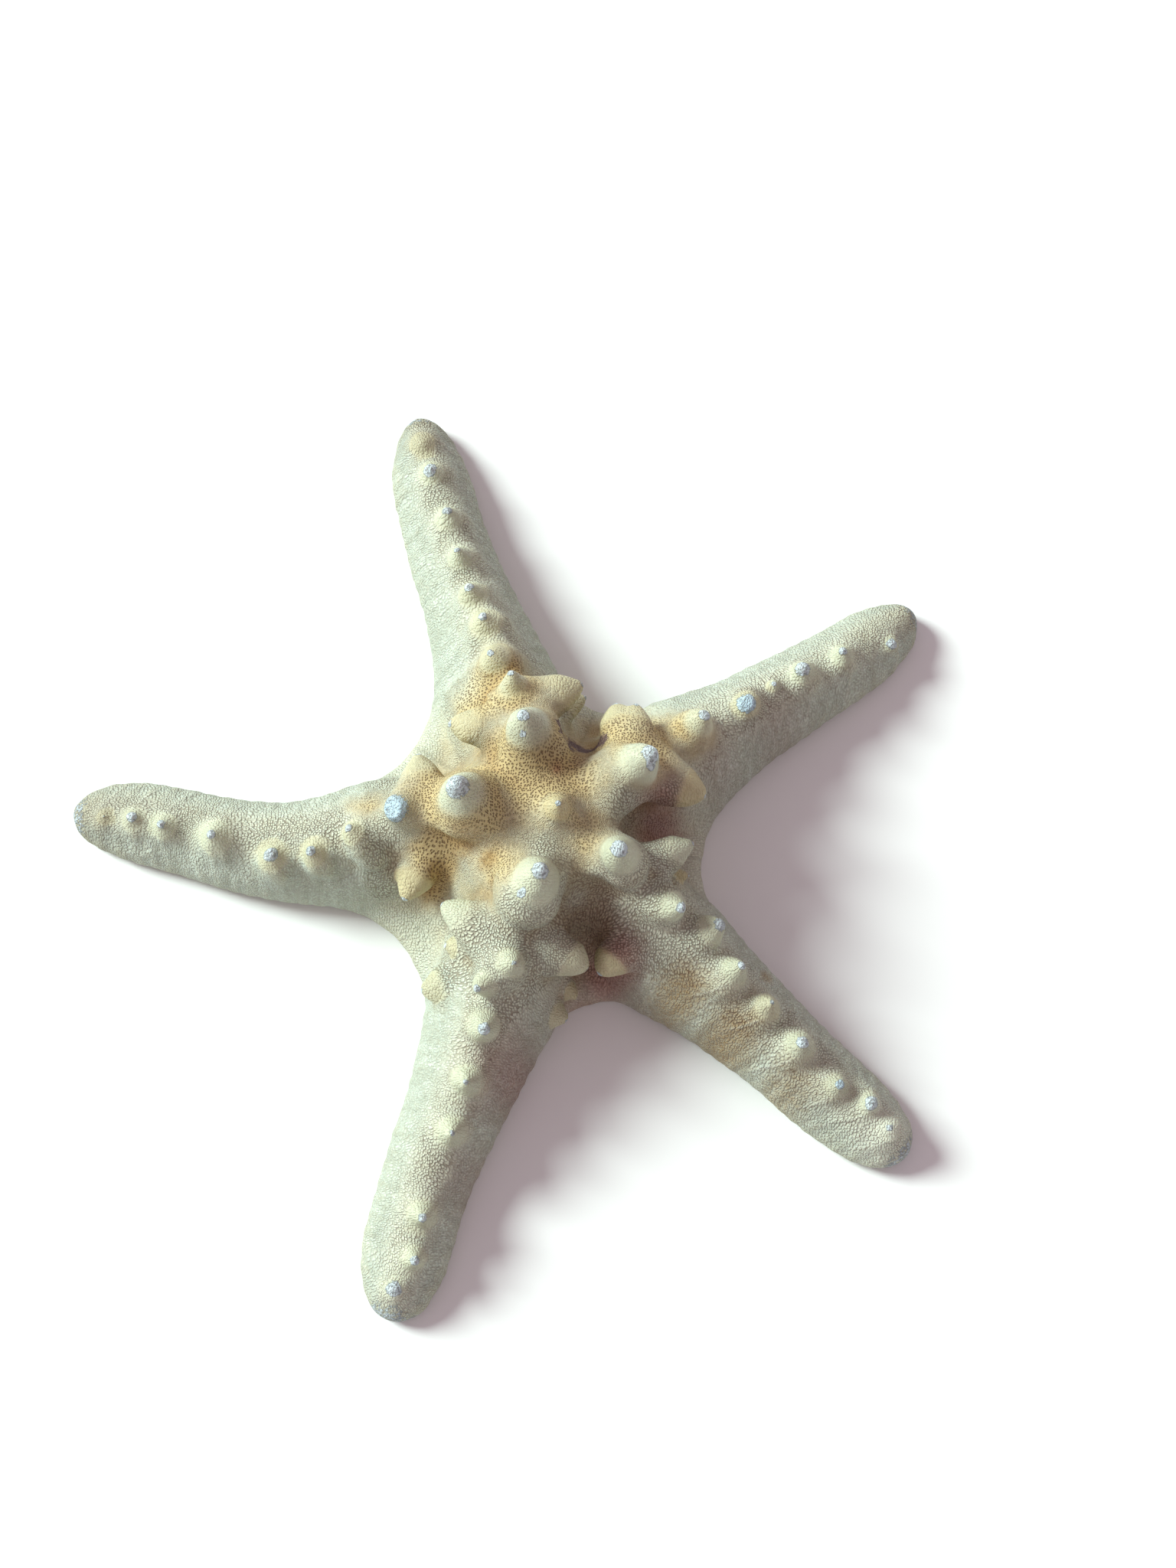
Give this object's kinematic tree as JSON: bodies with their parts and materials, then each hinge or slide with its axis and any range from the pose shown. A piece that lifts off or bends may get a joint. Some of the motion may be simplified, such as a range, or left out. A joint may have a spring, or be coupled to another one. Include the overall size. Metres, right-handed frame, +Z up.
{
  "type": "dried starfish",
  "caption": "Dried horned sea star: a domed disc drawn out into blunt arms, with tubercles on its back and a flat underside with a mouth and furrows.",
  "frame": {"origin": "the middle of the star's box, on the plane that its flat underside rests on", "axes": "+Z up out of the back; +Y along the longest reach, towards the arm that points away; +X to the right"},
  "size_m": [0.1458, 0.159, 0.0376],
  "materials": {
    "starfish": "matte"
  },
  "bodies": {
    "root": {"starfish": "starfish"}
  },
  "joints": []
}
